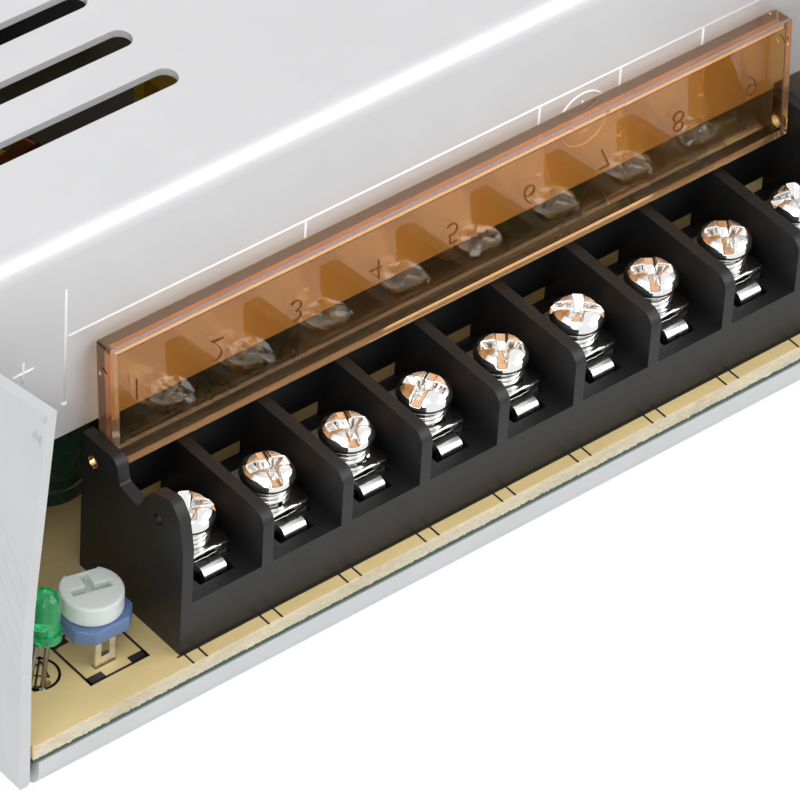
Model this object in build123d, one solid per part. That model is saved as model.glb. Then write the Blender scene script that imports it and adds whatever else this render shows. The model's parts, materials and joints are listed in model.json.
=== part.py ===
from build123d import *
import os
from math import cos, degrees, radians, sin, sqrt

# Enclosed switching power supply for LED lighting, with its screw terminals open at the front.
# Millimetres, +Z up, origin at the middle of the base. The terminals look towards -Y.

# Case
case_length = 215.0
case_width = 115.0
case_height = 46.5
chassis_sheet = 1.2
chassis_bend = 2.2
cover_sheet = 0.8
cover_bend = 2.2
lip_height = 3.7
relief_width = 1.0
cover_clearance = 0.15
cover_setback = 17.6
end_face_bottom = 22.9
flange_depth = 13.0
corner_fold_height = 20.0
corner_fold_length = 16.0
corner_fold_in = 2.6
corner_creases = 5
corner_crease_step = 1.4

# Vents in the cover and in the back wall
slot_width = 2.65
slot_length = 33.0
slot_pitch = 7.0
slot_rows = 13
slot_first_row = 30.9
slot_inner_end = 16.8
back_vent_length = 22.0
back_vent_height = 3.0
back_vent_pitch = 7.5
back_vent_rows = 4

# Fixing holes that a stranger would use
mount_hole_radius = 2.1
mount_spacing_x = 50.0
mount_spacing_y = 150.0
side_hole_height = 23.0

# Circuit board and what it stands on
board_thickness = 1.6
board_side_gap = 0.35
board_back_gap = 4.0
spacer_height = 3.2
spacer_radius = 3.0
spacer_bore = 1.25
board_screw_radius = 1.2
board_screw_head = 2.7
board_screw_head_height = 1.8
board_screw_hole = 1.6
spacer_inset_x = 7.5
spacer_inset_front = 42.0
spacer_inset_back = 8.0
insulation_thickness = 0.3
insulation_margin = 4.0
screw_hole_gap = 0.05

# Terminal block
terminal_count = 9
terminal_pitch = 9.5
divider_thickness = 1.28
divider_height = 12.3
divider_round = 1.5
ledge_height = 6.0
block_depth = 15.3
block_back_wall = 1.0
block_inset_left = 20.4
block_inset_front = 1.7
ear_height = 16.9
front_ear_height = 17.9
valley_height = 13.7
block_floor_back = 13.4

# Screw, washers and tab of one terminal
screw_radius = 1.5
screw_length = 7.9
screw_setback = 6.2
head_radius = 2.75
head_height = 2.1
recess_depth = 1.15
head_round = 1.1
cross_length = 2.9
cross_width = 0.75
screw_slot_length = 5.0
screw_slot_width = 0.6
screw_turns = (20, 65, 50, 40, 10, 5, 15, 60, 35)
clamp_side = 5.8
clamp_thickness = 0.8
clamp_lift = 0.6
clamp_corner = 0.6
arch_half = 1.1
arch_depth = 0.25
spring_washer_thickness = 0.75
spring_washer_radius = 2.45
washer_split = 0.4
tab_thickness = 0.8
tab_width = 5.6
tab_nose_width = 3.7
tab_nose_setback = 1.7
tab_back_setback = 11.6
pedestal_height = 0.6
running_gap = 0.05
bore_floor = 0.8
bore_gap = 0.2

# Hinged cover over the terminals
flap_height = 14.0
flap_depth = 2.3
flap_panel = 1.0
flap_rim = 0.9
flap_end_gap = 0.2
flap_lean = 4.0
flap_corner = 0.4
flap_edge = 0.25
pin_radius = 0.7
pin_setback = 13.6
pin_height = 14.3
pin_above_edge = 1.2
pin_behind_rim = 1.05

# Adjuster and indicator lamp beside the block
trimmer_setback = 5.6
trimmer_left = 6.8
trimmer_base_width = 7.0
trimmer_base_height = 2.3
trimmer_standoff = 2.8
rotor_radius = 3.1
rotor_height = 1.8
lamp_setback = 4.4
lamp_left = 13.35
lamp_radius = 1.5
lamp_body = 5.3
lamp_standing = 5.6
lamp_lead_pitch = 1.27
lead_width = 0.5
lead_gauge = 0.5
lead_end = 1.2
wiper_width = 2.2
lamp_lean = 8.0
lamp_bend = 0.6

# Parts inside
lead_pitch = 2.54
capacitor_radius = 12.5
capacitor_height = 32.0
output_capacitor_radius = 5.0
output_capacitor_height = 20.0
toroid_radius = 16.0
toroid_hole = 7.0
toroid_height = 13.0
toroid_turns = 22
transformer_width = 40.0
transformer_depth = 42.0
transformer_height = 35.0
package_width = 10.0
package_height = 15.0
package_thickness = 4.4
clamp_bar_height = 9.0
clamp_bar_thickness = 3.0
bar_overhang = 14.0
bar_screw_radius = 1.5
bar_screw_head = 2.75
filter_cap_length = 26.0
filter_cap_depth = 11.0
filter_cap_height = 19.0
resistor_count = 4
resistor_pitch = 9.0
resistor_length = 12.0
resistor_radius = 2.4

# Levels and places that follow
front = -case_length / 2
back = case_length / 2
left = -case_width / 2
right = case_width / 2
board_bottom = chassis_sheet + spacer_height
board_top = board_bottom + board_thickness
block_front = front + block_inset_front
block_left = left + block_inset_left
block_span = terminal_count * terminal_pitch
end_face = front + cover_setback
cover_top_inside = case_height - cover_sheet
tab_top = board_top + ledge_height + pedestal_height + tab_thickness
clamp_bottom = tab_top + clamp_lift
head_bottom = clamp_bottom + clamp_thickness + spring_washer_thickness
pin_y = block_front + pin_setback
pin_z = board_top + pin_height


def box(x0, x1, y0, y1, z0, z1):
    """A block from its lowest corner to its highest."""
    return Pos((x0 + x1) / 2, (y0 + y1) / 2, (z0 + z1) / 2) * Box(x1 - x0, y1 - y0, z1 - z0)


def rod(x, y, z0, z1, radius):
    """A round bar along Z."""
    return Pos(x, y, (z0 + z1) / 2) * Cylinder(radius, z1 - z0)


def rod_x(x0, x1, y, z, radius):
    """A round bar along X, given its two ends in either order."""
    return Pos((x0 + x1) / 2, y, z) * Rot(0, 90, 0) * Cylinder(radius, abs(x1 - x0))


def slab_x(x0, x1, points, rounds=()):
    """A plate of constant section: a closed outline in Y and Z, carried from x0 to x1."""
    outline = make_face(Polyline(*points, close=True))
    for point, radius in rounds:
        corner = outline.vertices().sort_by_distance((point[0], point[1], 0))[0]
        outline = fillet(corner, radius)
    upright = Plane((x0, 0, 0), x_dir=(0, 1, 0), z_dir=(1, 0, 0))
    return extrude(upright * outline, amount=x1 - x0)


def edges_at(solid, axis, z=None, x=None, y=None):
    """The straight edges along one axis that lie at the given places."""
    found = ShapeList()
    for edge in solid.edges().filter_by(axis):
        centre = edge.center()
        near = all(want is None or abs(have - want) < 0.01
                   for want, have in ((z, centre.Z), (x, centre.X), (y, centre.Y)))
        if near:
            found.append(edge)
    return found


def slot_cutter(x0, x1, y, z0, z1, width):
    """A round-ended slot along X."""
    middle = (x0 + x1) / 2
    outline = SlotOverall(x1 - x0, width)
    return extrude(Pos(middle, y, z0) * outline, amount=z1 - z0)


parts = {}


# Chassis: floor, two side walls, back wall and a short front lip, bent from one sheet

def bent_tray(x0, x1, y0, y1, z0, z1, sheet, bend):
    """An open tray of even sheet, with rounded bends round its floor."""
    outer = box(x0, x1, y0, y1, z0, z1)
    outer = fillet(outer.edges().group_by(Axis.Z)[0], bend)
    inner = box(x0 + sheet, x1 - sheet, y0 + sheet, y1 - sheet, z0 + sheet, z1 + sheet)
    inner = fillet(inner.edges().group_by(Axis.Z)[0], bend - sheet)
    return outer - inner


wall_top = case_height - 0.4
chassis = bent_tray(left, right, front, back, 0, wall_top, chassis_sheet, chassis_bend)
mouth = box(left + chassis_sheet, right - chassis_sheet, front - 1, front + chassis_bend,
            lip_height, case_height)
chassis -= mouth
for side in (left + chassis_sheet, right - chassis_sheet - relief_width):
    chassis -= box(side, side + relief_width, front - 1, front + chassis_bend, -1, case_height)
    chassis -= box(side, side + relief_width, back - chassis_bend, back + 1, chassis_bend, case_height)
for side_x in (-mount_spacing_x / 2, mount_spacing_x / 2):
    for side_y in (-mount_spacing_y / 2, mount_spacing_y / 2):
        chassis -= rod(side_x, side_y, -1, chassis_sheet + 1, mount_hole_radius)
for side_y in (-mount_spacing_y / 2, mount_spacing_y / 2):
    chassis -= rod_x(left - 1, right + 1, side_y, side_hole_height, mount_hole_radius)
for row in range(back_vent_rows):
    for column in (-1, 0, 1):
        vent = SlotOverall(back_vent_length, back_vent_height)
        place = Plane((column * (back_vent_length + 7), back + 1, 14 + row * back_vent_pitch),
                      x_dir=(1, 0, 0), z_dir=(0, -1, 0))
        chassis -= extrude(place * vent, amount=chassis_sheet + 2)

# The top front corner of the left wall is knocked inwards along a slanting crease
crease_rise = wall_top - corner_fold_height
crease_length = sqrt(corner_fold_length ** 2 + crease_rise ** 2)
corner_reach = corner_fold_length * crease_rise / crease_length
crease_turn = degrees(corner_fold_in / corner_reach) / corner_creases
bent_corner = None
for crease in range(corner_creases - 1, -1, -1):
    # Creases run side by side up the wall, and each takes a share of the bend
    shift = (crease - (corner_creases - 1) / 2) * corner_crease_step
    low_y = front - shift * crease_rise / crease_length
    low_z = corner_fold_height + shift * corner_fold_length / crease_length
    start = (low_y - corner_fold_length, low_z - crease_rise)
    end = (low_y + 2 * corner_fold_length, low_z + 2 * crease_rise)
    outside = slab_x(left - 5, left + 5, [start, end, (front - 60, end[1]), (front - 60, start[1])])
    wall_room = box(left - 1, left + chassis_sheet + 0.01, front - 1, back, lip_height, case_height)
    strip = chassis & outside & wall_room
    chassis -= strip
    bent_corner = strip if bent_corner is None else strip + bent_corner
    crease_axis = Axis((left + chassis_sheet / 2, low_y, low_z), (0, corner_fold_length, crease_rise))
    bent_corner = bent_corner.rotate(crease_axis, crease_turn)
chassis += bent_corner
chassis -= box(left - 1, left + 10, front - 2, front, 0, case_height)


# Top cover: top, front end face and two side flanges, with vent slots

cover_left = left + chassis_sheet + cover_clearance
cover_right = right - chassis_sheet - cover_clearance
cover_back = back - chassis_sheet - cover_clearance
cover = box(cover_left, cover_right, end_face, cover_back, end_face_bottom, case_height)
outer_bends = edges_at(cover, Axis.X, z=case_height, y=end_face)
outer_bends += edges_at(cover, Axis.Y, z=case_height)
cover = fillet(outer_bends, cover_bend)
hollow = box(cover_left + cover_sheet, cover_right - cover_sheet, end_face + cover_sheet, cover_back + 5,
             end_face_bottom - 5, cover_top_inside)
inner_bends = edges_at(hollow, Axis.X, z=cover_top_inside, y=end_face + cover_sheet)
inner_bends += edges_at(hollow, Axis.Y, z=cover_top_inside)
hollow = fillet(inner_bends, cover_bend - cover_sheet)
cover -= hollow
cover -= box(cover_left - 1, cover_right + 1, end_face + cover_sheet + relief_width, cover_back + 1,
             end_face_bottom - 1, case_height - flange_depth)
for side in (cover_left - 1, cover_right - cover_sheet - 0.2):
    cover -= box(side, side + cover_sheet + 1.2,
                 end_face + cover_sheet, end_face + cover_sheet + relief_width,
                 end_face_bottom - 1, case_height - cover_bend)
for row in range(slot_rows):
    slot_y = front + slot_first_row + row * slot_pitch
    cover -= slot_cutter(-slot_inner_end - slot_length, -slot_inner_end, slot_y,
                         cover_top_inside - 1, case_height + 1, slot_width)
    cover -= slot_cutter(slot_inner_end, slot_inner_end + slot_length, slot_y,
                         cover_top_inside - 1, case_height + 1, slot_width)

# Low flat-headed screws that hold the cover's flanges to the side walls
cover_screw_radius = 1.4
cover_screw_z = case_height - 7.0
cover_screw_rows = (end_face + 20.0, 0.0, back - 20.0)
cover_screws = []
for row_y in cover_screw_rows:
    for x, outward in ((left, -1), (right, 1)):
        chassis -= rod_x(x - 2 * chassis_sheet, x + 2 * chassis_sheet, row_y, cover_screw_z,
                         cover_screw_radius + screw_hole_gap)
        cover -= rod_x(x - 4, x + 4, row_y, cover_screw_z, cover_screw_radius + screw_hole_gap)
        shank = rod_x(x - outward * 5.0, x, row_y, cover_screw_z, cover_screw_radius)
        head = rod_x(x, x + outward * 1.0, row_y, cover_screw_z, 2.5)
        head = chamfer(head.edges().sort_by(Axis.X)[0 if outward < 0 else -1], 0.5)
        socket = rod_x(x + outward * 0.4, x + outward * 2.0, row_y, cover_screw_z, 0.9)
        cover_screws.append(shank + head - socket)

parts["chassis"] = chassis
parts["top_cover"] = cover
parts["cover_screws"] = cover_screws


# Board, the sheet under it, its spacers and screws

board_left = left + chassis_sheet + board_side_gap
board_right = right - chassis_sheet - board_side_gap
board_front = front + 0.1
board_back = back - chassis_sheet - board_back_gap
board = box(board_left, board_right, board_front, board_back, board_bottom, board_top)
sheet_top = chassis_sheet + insulation_thickness
insulation = box(board_left + insulation_margin, board_right - insulation_margin,
                 front + chassis_bend + insulation_margin, board_back, chassis_sheet, sheet_top)
for side_x in (-mount_spacing_x / 2, mount_spacing_x / 2):
    for side_y in (-mount_spacing_y / 2, mount_spacing_y / 2):
        insulation -= rod(side_x, side_y, 0, board_bottom, mount_hole_radius + 2.0)
spacers = []
board_screws = []
for x in (board_left + spacer_inset_x, board_right - spacer_inset_x):
    for y in (board_front + spacer_inset_front, end_face + 81.9, board_back - spacer_inset_back):
        hexagon = Pos(x, y, chassis_sheet) * RegularPolygon(spacer_radius, 6)
        pillar = extrude(hexagon, amount=spacer_height)
        spacers.append(pillar - rod(x, y, chassis_sheet - 1, board_bottom + 1, spacer_bore))
        insulation -= rod(x, y, 0, board_bottom, spacer_radius + 0.4)
        board -= rod(x, y, board_bottom - 1, board_top + 1, board_screw_hole)
        head = rod(x, y, board_top, board_top + board_screw_head_height, board_screw_head)
        head = fillet(head.edges().sort_by(Axis.Z)[-1], 0.8)
        shank = rod(x, y, chassis_sheet + 0.4, board_top, board_screw_radius)
        cross = Pos(x, y, board_top + board_screw_head_height) * (Box(2.6, 0.6, 1.6) + Box(0.6, 2.6, 1.6))
        board_screws.append(head + shank - cross)


# Terminal block: one moulding with dividers, tab pedestals and hinge ears

def compartment_x(index):
    """Middle of one compartment, counted from 0 at the left."""
    return block_left + (index + 0.5) * terminal_pitch


def at_block(points):
    """Turns setback and height above the board into Y and Z."""
    return [(block_front + setback, board_top + height) for setback, height in points]


half_divider = divider_thickness / 2
ledge_top = board_top + ledge_height
block = box(block_left - half_divider, block_left + block_span + half_divider, block_front,
            block_front + block_depth, board_top, ledge_top - 1.1)
block += box(block_left - half_divider, block_left + block_span + half_divider, block_front,
             block_front + block_floor_back, board_top, ledge_top)
block += box(block_left - half_divider, block_left + block_span + half_divider,
             block_front + block_depth - block_back_wall, block_front + block_depth,
             board_top, board_top + divider_height)
divider_points = at_block([(0, 0), (0, divider_height), (block_depth, divider_height), (block_depth, 0)])
divider_rounds = [(divider_points[1], divider_round)]
for index in range(1, terminal_count):
    x = block_left + index * terminal_pitch
    block += slab_x(x - half_divider, x + half_divider, divider_points, divider_rounds)

# Each end wall carries a rear ear with the hinge hole and a front ear with the catch hole
end_points = at_block([
    (0, 0), (0, divider_height + 0.5),
    (0.7, front_ear_height - 1.6), (1.9, front_ear_height), (4.6, front_ear_height - 0.7),
    (5.9, front_ear_height - 2.4), (6.7, valley_height), (9.6, valley_height + 0.6),
    (10.2, ear_height), (block_depth, ear_height - 0.1), (block_depth, 0)])
end_rounds = [(end_points[3], 1.1), (end_points[4], 1.2), (end_points[6], 0.5), (end_points[7], 0.4),
              (end_points[8], 1.1)]
catch_y = pin_y - (pin_setback - 3.8)
for x in (block_left, block_left + block_span):
    wall = slab_x(x - half_divider, x + half_divider, end_points, end_rounds)
    wall -= rod_x(x - 1, x + 1, pin_y, pin_z, pin_radius + running_gap)
    wall -= rod_x(x - 1, x + 1, catch_y, pin_z, 0.65)
    block += wall

tabs = []
washers = []
screws = []
screw_y = block_front + screw_setback
for index in range(terminal_count):
    x = compartment_x(index)
    nose_y = block_front + tab_nose_setback
    tab_back = block_front + tab_back_setback
    shoulder_y = nose_y + 2.0
    pedestal_top = ledge_top + pedestal_height
    block += box(x - tab_width / 2 - 0.3, x + tab_width / 2 + 0.3, shoulder_y - 0.2, tab_back + 0.4,
                 ledge_top - 1, pedestal_top)
    block -= box(x - tab_nose_width / 2 - 0.2, x + tab_nose_width / 2 + 0.2, nose_y - 0.25, shoulder_y - 0.2,
                 board_top + 2.0, pedestal_top + 1)
    block -= rod(x, screw_y, board_top + bore_floor, pedestal_top + 1, screw_radius + bore_gap)
    block -= box(x - 0.8, x + 0.8, tab_back - tab_thickness - 0.1, tab_back + 0.1,
                 board_top - 1, pedestal_top + 1)
    window_y = block_front + block_depth - block_back_wall - 1
    block -= box(x - 3.3, x + 3.3, window_y, block_front + block_depth + 1, ledge_top - 1.1, ledge_top + 0.8)
    # The tab is bent down at the front and carries a pin through the board at the back
    plate = box(x - tab_width / 2, x + tab_width / 2, shoulder_y, tab_back, tab_top - tab_thickness, tab_top)
    nose_points = [
        (nose_y, tab_top - 4.2), (nose_y, tab_top),
        (shoulder_y + 0.5, tab_top), (shoulder_y + 0.5, tab_top - tab_thickness),
        (nose_y + tab_thickness, tab_top - tab_thickness), (nose_y + tab_thickness, tab_top - 4.2)]
    plate += slab_x(x - tab_nose_width / 2, x + tab_nose_width / 2, nose_points,
                    [(nose_points[1], 0.75), (nose_points[4], 0.3)])
    plate += box(x - 0.6, x + 0.6, tab_back - tab_thickness, tab_back, board_bottom - 1.4, tab_top)
    plate -= rod(x, screw_y, tab_top - 3, tab_top + 1, screw_radius + running_gap)
    tabs.append(plate)
    board -= rod(x, tab_back - tab_thickness / 2, board_bottom - 1, board_top + 1, 0.95)
    # Square washer with a shallow arch, kept from turning by the dividers
    clamp = box(x - clamp_side / 2, x + clamp_side / 2, screw_y - clamp_side / 2, screw_y + clamp_side / 2,
                clamp_bottom, clamp_bottom + clamp_thickness)
    clamp = fillet(clamp.edges().filter_by(Axis.Z), clamp_corner)
    groove = box(x - clamp_side, x + clamp_side, screw_y - arch_half, screw_y + arch_half,
                 clamp_bottom - 1, clamp_bottom + arch_depth)
    clamp -= groove
    clamp -= rod(x, screw_y, clamp_bottom - 1, clamp_bottom + 2, screw_radius + running_gap)
    washer_bottom = clamp_bottom + clamp_thickness
    washer = rod(x, screw_y, washer_bottom, head_bottom, spring_washer_radius)
    washer -= rod(x, screw_y, washer_bottom - 1, head_bottom + 1, screw_radius + running_gap)
    split = box(0, 4, -washer_split / 2, washer_split / 2, washer_bottom - 1, head_bottom + 1)
    washer -= Pos(x, screw_y, 0) * Rot(0, 0, 35 + 40 * index) * split
    washers.append([clamp, washer])
    # Pan head with a cross and a slot cut together
    head = rod(x, screw_y, head_bottom, head_bottom + head_height, head_radius)
    head = fillet(head.edges().sort_by(Axis.Z)[-1], head_round)
    shank = rod(x, screw_y, head_bottom - screw_length, head_bottom + 0.1, screw_radius)
    shank = chamfer(shank.edges().sort_by(Axis.Z)[0], 0.4)
    recess = Box(cross_length, cross_width, 2 * recess_depth)
    recess += Box(cross_width, cross_length, 2 * recess_depth)
    recess += Box(screw_slot_length, screw_slot_width, recess_depth)
    turn = screw_turns[index % len(screw_turns)]
    recess = Pos(x, screw_y, head_bottom + head_height) * Rot(0, 0, turn) * recess
    screws.append(head + shank - recess)

parts["terminal_block"] = block
parts["terminal_tabs"] = tabs
for index in range(terminal_count):
    parts[f"clamp_washers_{index + 1}"] = washers[index]
    parts[f"terminal_screw_{index + 1}"] = screws[index]


# Clear flap over the terminals, a shallow tray standing open on its two hinge pins

flap_left = block_left + half_divider + flap_end_gap
flap_right = block_left + block_span - half_divider - flap_end_gap
flap_bottom = pin_z - pin_above_edge
rim_y = pin_y - pin_behind_rim
flap = box(flap_left, flap_right, rim_y, rim_y + flap_depth, flap_bottom, flap_bottom + flap_height)
back_edges = edges_at(flap, Axis.X, y=rim_y + flap_depth)
flap = fillet(back_edges, flap_edge)
flap = fillet(flap.edges().filter_by(Axis.Y).group_by(Axis.Z)[-1], flap_corner)
tray = box(flap_left + flap_rim, flap_right - flap_rim, rim_y - 1, rim_y + flap_depth - flap_panel,
           flap_bottom + flap_rim, flap_bottom + flap_height - flap_rim)
flap -= tray
pin_length = divider_thickness + flap_end_gap
catch_z = pin_z + (pin_y - catch_y)
for x, outward in ((flap_left, -1), (flap_right, 1)):
    flap += rod_x(x - outward * 0.5, x + outward * pin_length, pin_y, pin_z, pin_radius)
    flap += rod_x(x - outward * 0.5, x + outward * 0.14, pin_y, catch_z, 0.5)
flap_hinge = Axis((0, pin_y, pin_z), (1, 0, 0))
flap = flap.rotate(flap_hinge, -flap_lean)
parts["terminal_flap"] = flap


# Adjuster: eight-sided base on three legs, with a white rotor that turns

trimmer_x = block_left - trimmer_left
trimmer_y = block_front + trimmer_setback
base_bottom = board_top + trimmer_standoff
base_top = base_bottom + trimmer_base_height
octagon = Pos(trimmer_x, trimmer_y, base_bottom) * Rot(0, 0, 22.5) * RegularPolygon(
    trimmer_base_width / 2 / cos(radians(22.5)), 8)
trimmer_base = extrude(octagon, amount=trimmer_base_height)
trimmer_base = chamfer(trimmer_base.edges().group_by(Axis.Z)[-1], 0.4)
spindle_radius = 0.9
trimmer_base -= rod(trimmer_x, trimmer_y, base_bottom + 0.8, base_top + 1, spindle_radius + running_gap)
for angle in (90, 200, 340):
    foot_x = trimmer_x + 2.7 * cos(radians(angle))
    foot_y = trimmer_y + 2.7 * sin(radians(angle))
    trimmer_base += rod(foot_x, foot_y, board_top, base_bottom + 0.2, 0.5)
rotor_bottom = base_top + 0.25
rotor = rod(trimmer_x, trimmer_y, rotor_bottom, rotor_bottom + rotor_height, rotor_radius)
rotor = chamfer(rotor.edges().group_by(Axis.Z)[-1], 0.25)
rotor += rod(trimmer_x, trimmer_y, base_bottom + 1.0, rotor_bottom + 0.1, spindle_radius)
rotor_face = rotor_bottom + rotor_height
cross_slot = Box(3.6, 0.8, 1.2) + Box(0.8, 3.6, 1.2)
rotor -= Pos(trimmer_x, trimmer_y, rotor_face) * cross_slot
rotor -= rod(trimmer_x, trimmer_y - rotor_radius, rotor_bottom + 0.4, rotor_face + 1, 0.5)
trimmer_leads = []
lead_y = trimmer_y - 2.1
wiper = box(trimmer_x - wiper_width / 2, trimmer_x + wiper_width / 2,
            lead_y - lead_gauge / 2, lead_y + lead_gauge / 2, board_bottom - lead_end, base_bottom)
wiper -= box(trimmer_x - wiper_width / 5, trimmer_x + wiper_width / 5, lead_y - 1, lead_y + 1,
             board_top + 0.8, base_bottom - 0.5)
trimmer_leads.append(wiper)
board -= box(trimmer_x - wiper_width / 2 - 0.15, trimmer_x + wiper_width / 2 + 0.15,
             lead_y - 0.4, lead_y + 0.4, board_bottom - 1, board_top + 1)
for offset in (-2.5, 2.5):
    rear_y = trimmer_y + 2.2
    pin = rod(trimmer_x + offset, rear_y, board_bottom - lead_end, base_bottom, 0.3)
    trimmer_leads.append(pin)
    board -= rod(trimmer_x + offset, rear_y, board_bottom - 1, board_top + 1, 0.4)
parts["trimmer_base"] = trimmer_base
parts["trimmer_rotor"] = rotor
parts["trimmer_leads"] = trimmer_leads


# Lamp standing on its two bare leads

lamp_x = block_left - lamp_left
lamp_y = block_front + lamp_setback
lamp_bottom = board_top + lamp_standing
lens = rod(lamp_x, lamp_y, lamp_bottom, lamp_bottom + lamp_body - lamp_radius, lamp_radius)
lens += Pos(lamp_x, lamp_y, lamp_bottom + lamp_body - lamp_radius) * Sphere(lamp_radius)
lens += rod(lamp_x, lamp_y, lamp_bottom, lamp_bottom + 0.9, lamp_radius + 0.25)
lamp_leads = []
lean_axis = Axis((lamp_x, lamp_y, board_top + lamp_bend), (-1, 1, 0))
for offset in (-lamp_lead_pitch / 2, lamp_lead_pitch / 2):
    x = lamp_x + offset
    y0, y1 = lamp_y - lead_gauge / 2, lamp_y + lead_gauge / 2
    lens -= box(x - lead_width / 2, x + lead_width / 2, y0, y1, lamp_bottom - 1, lamp_bottom + 1.0)
    leaning = box(x - lead_width / 2, x + lead_width / 2, y0, y1, board_top + lamp_bend, lamp_bottom + 1.0)
    upright = box(x - lead_width / 2, x + lead_width / 2, y0, y1,
                  board_bottom - lead_end, board_top + lamp_bend + 0.1)
    lamp_leads.append(upright + leaning.rotate(lean_axis, lamp_lean))
    board -= rod(x, lamp_y, board_bottom - 1, board_top + 1, 0.42)
lens = lens.rotate(lean_axis, lamp_lean)
parts["lamp_lens"] = lens
parts["lamp_leads"] = lamp_leads


# Output side, behind the left of the block: smoothing capacitors, choke and rectifiers

def can(x, y, radius, height):
    """A round capacitor with its rolled groove and scored top."""
    body = rod(x, y, board_top, board_top + height, radius)
    body = fillet(body.edges().group_by(Axis.Z)[-1], 0.8)
    groove_ring = Pos(x, y, board_top + 2.2) * Torus(radius + 0.35, 0.8)
    score = Pos(x, y, board_top + height) * (Box(radius * 1.3, 0.4, 0.4) + Box(0.4, radius * 1.3, 0.4))
    return body - groove_ring - score


output_cans = []
for column in range(4):
    output_cans.append(can(left + 12.0 + column * 12.5, end_face + 12.0, output_capacitor_radius,
                           output_capacitor_height))
parts["output_capacitors"] = output_cans

toroid_x = left + 29.5
toroid_y = end_face + 35.9
core_radius = toroid_radius - 1.8
core_hole = toroid_hole + 1.8
core = rod(toroid_x, toroid_y, board_top + 1.8, board_top + toroid_height - 1.8, core_radius)
core -= rod(toroid_x, toroid_y, board_top, board_top + toroid_height, core_hole)
winding = []
turn_gap = 0.1
for step in range(toroid_turns):
    arm = box(toroid_hole, toroid_radius, -0.75, 0.75, board_top, board_top + toroid_height)
    arm = fillet(arm.edges().filter_by(Axis.Y), 1.2)
    arm -= box(core_hole - turn_gap, core_radius + turn_gap, -1, 1,
               board_top + 1.8 - turn_gap, board_top + toroid_height - 1.8 + turn_gap)
    winding.append(Pos(toroid_x, toroid_y, 0) * Rot(0, 0, step * 330 / toroid_turns) * arm)
parts["output_choke_core"] = core
parts["output_choke_winding"] = winding


def power_package(wall_x, inward, y, z0):
    """A flat power transistor with its metal back on the wall and its leads to the board."""
    x0 = wall_x
    x1 = wall_x + inward * package_thickness
    low, high = min(x0, x1), max(x0, x1)
    body = box(low, high, y - package_width / 2, y + package_width / 2, z0, z0 + package_height)
    body = chamfer(body.edges().group_by(Axis.Z)[-1], 0.5)
    for offset in (-lead_pitch, 0, lead_pitch):
        x = wall_x + inward * 2.6
        body += box(x - 0.3, x + 0.3, y + offset - 0.4, y + offset + 0.4, board_top, z0 + 0.5)
    return body


wall_inside_left = left + chassis_sheet
wall_inside_right = right - chassis_sheet
package_z = board_top + 5.0
bar_screws = []


def clamp_bar(wall_x, inward, y0, y1):
    """An aluminium bar that presses a row of packages to the wall, and its two screws."""
    x0 = wall_x + inward * package_thickness
    x1 = x0 + inward * clamp_bar_thickness
    bar_z = package_z + 4.0
    bar = box(min(x0, x1), max(x0, x1), y0, y1, bar_z, bar_z + clamp_bar_height)
    bar = fillet(bar.edges().filter_by(Axis.Y), 0.8)
    for y in (y0 + 4.0, y1 - 4.0):
        middle_z = bar_z + clamp_bar_height / 2
        bar -= rod_x(min(x0, x1) - 1, max(x0, x1) + 1, y, middle_z, bar_screw_radius + screw_hole_gap)
        shank = rod_x(wall_x, x1, y, middle_z, bar_screw_radius)
        screw_head = rod_x(x1, x1 + inward * 2.0, y, middle_z, bar_screw_head)
        socket = rod_x(x1 + inward * 1.0, x1 + inward * 3.0, y, middle_z, 1.2)
        bar_screws.append(shank + screw_head - socket)
    return bar


rectifier_rows = (end_face + 61.9, end_face + 74.9)
switch_rows = (end_face + 101.9, end_face + 114.9)
parts["output_rectifiers"] = [power_package(wall_inside_left, 1, y, package_z) for y in rectifier_rows]
parts["rectifier_clamp"] = clamp_bar(wall_inside_left, 1, rectifier_rows[0] - bar_overhang,
                                      rectifier_rows[1] + bar_overhang)
parts["switch_transistors"] = [power_package(wall_inside_right, -1, y, package_z) for y in switch_rows]
parts["transistor_clamp"] = clamp_bar(wall_inside_right, -1, switch_rows[0] - bar_overhang,
                                       switch_rows[1] + bar_overhang)
parts["clamp_screws"] = bar_screws


# Middle: main transformer, driver transformer and control chip

transformer_x = -8.0
transformer_y = end_face + 81.9
half_w = transformer_width / 2
half_d = transformer_depth / 2
limb = 12.0
yoke = 6.5
core_top = board_top + transformer_height
ferrite = box(transformer_x - half_w, transformer_x + half_w,
              transformer_y - limb / 2, transformer_y + limb / 2, board_top + 3.0, core_top)
window = box(transformer_x - half_w + yoke, transformer_x + half_w - yoke,
             transformer_y - limb, transformer_y + limb, board_top + 3.0 + yoke, core_top - yoke)
ferrite -= window
ferrite = chamfer(ferrite.edges().filter_by(Axis.Y).group_by(Axis.Z)[-1], 1.0)
ferrite += rod(transformer_x, transformer_y, board_top + 9.0, core_top - 6.0, 5.5)
coil_low = board_top + 9.7
coil_high = core_top - 6.7
flange_radius = 13.0
winding_radius = 12.8
tube_radius = 7.0
bobbin = rod(transformer_x, transformer_y, coil_low, coil_high, flange_radius)
bobbin -= rod(transformer_x, transformer_y, coil_low - 1, coil_high + 1, 5.7)
coil = rod(transformer_x, transformer_y, coil_low + 1.2, coil_high - 1.2, winding_radius)
bobbin -= coil - rod(transformer_x, transformer_y, coil_low, coil_high, tube_radius)
pin_board = box(transformer_x - half_w + 1, transformer_x + half_w - 1,
                transformer_y - half_d, transformer_y + half_d, board_top, board_top + 2.8)
bobbin += pin_board
for y in (transformer_y - limb / 2 - 3.0, transformer_y + limb / 2 + 3.0):
    bobbin += box(transformer_x - 4.0, transformer_x + 4.0, y - 2.0, y + 2.0, board_top + 2.0, coil_low + 0.5)
wire_gap = 0.25
copper = rod(transformer_x, transformer_y, coil_low + 1.2 + wire_gap, coil_high - 1.2 - wire_gap,
             winding_radius)
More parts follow.
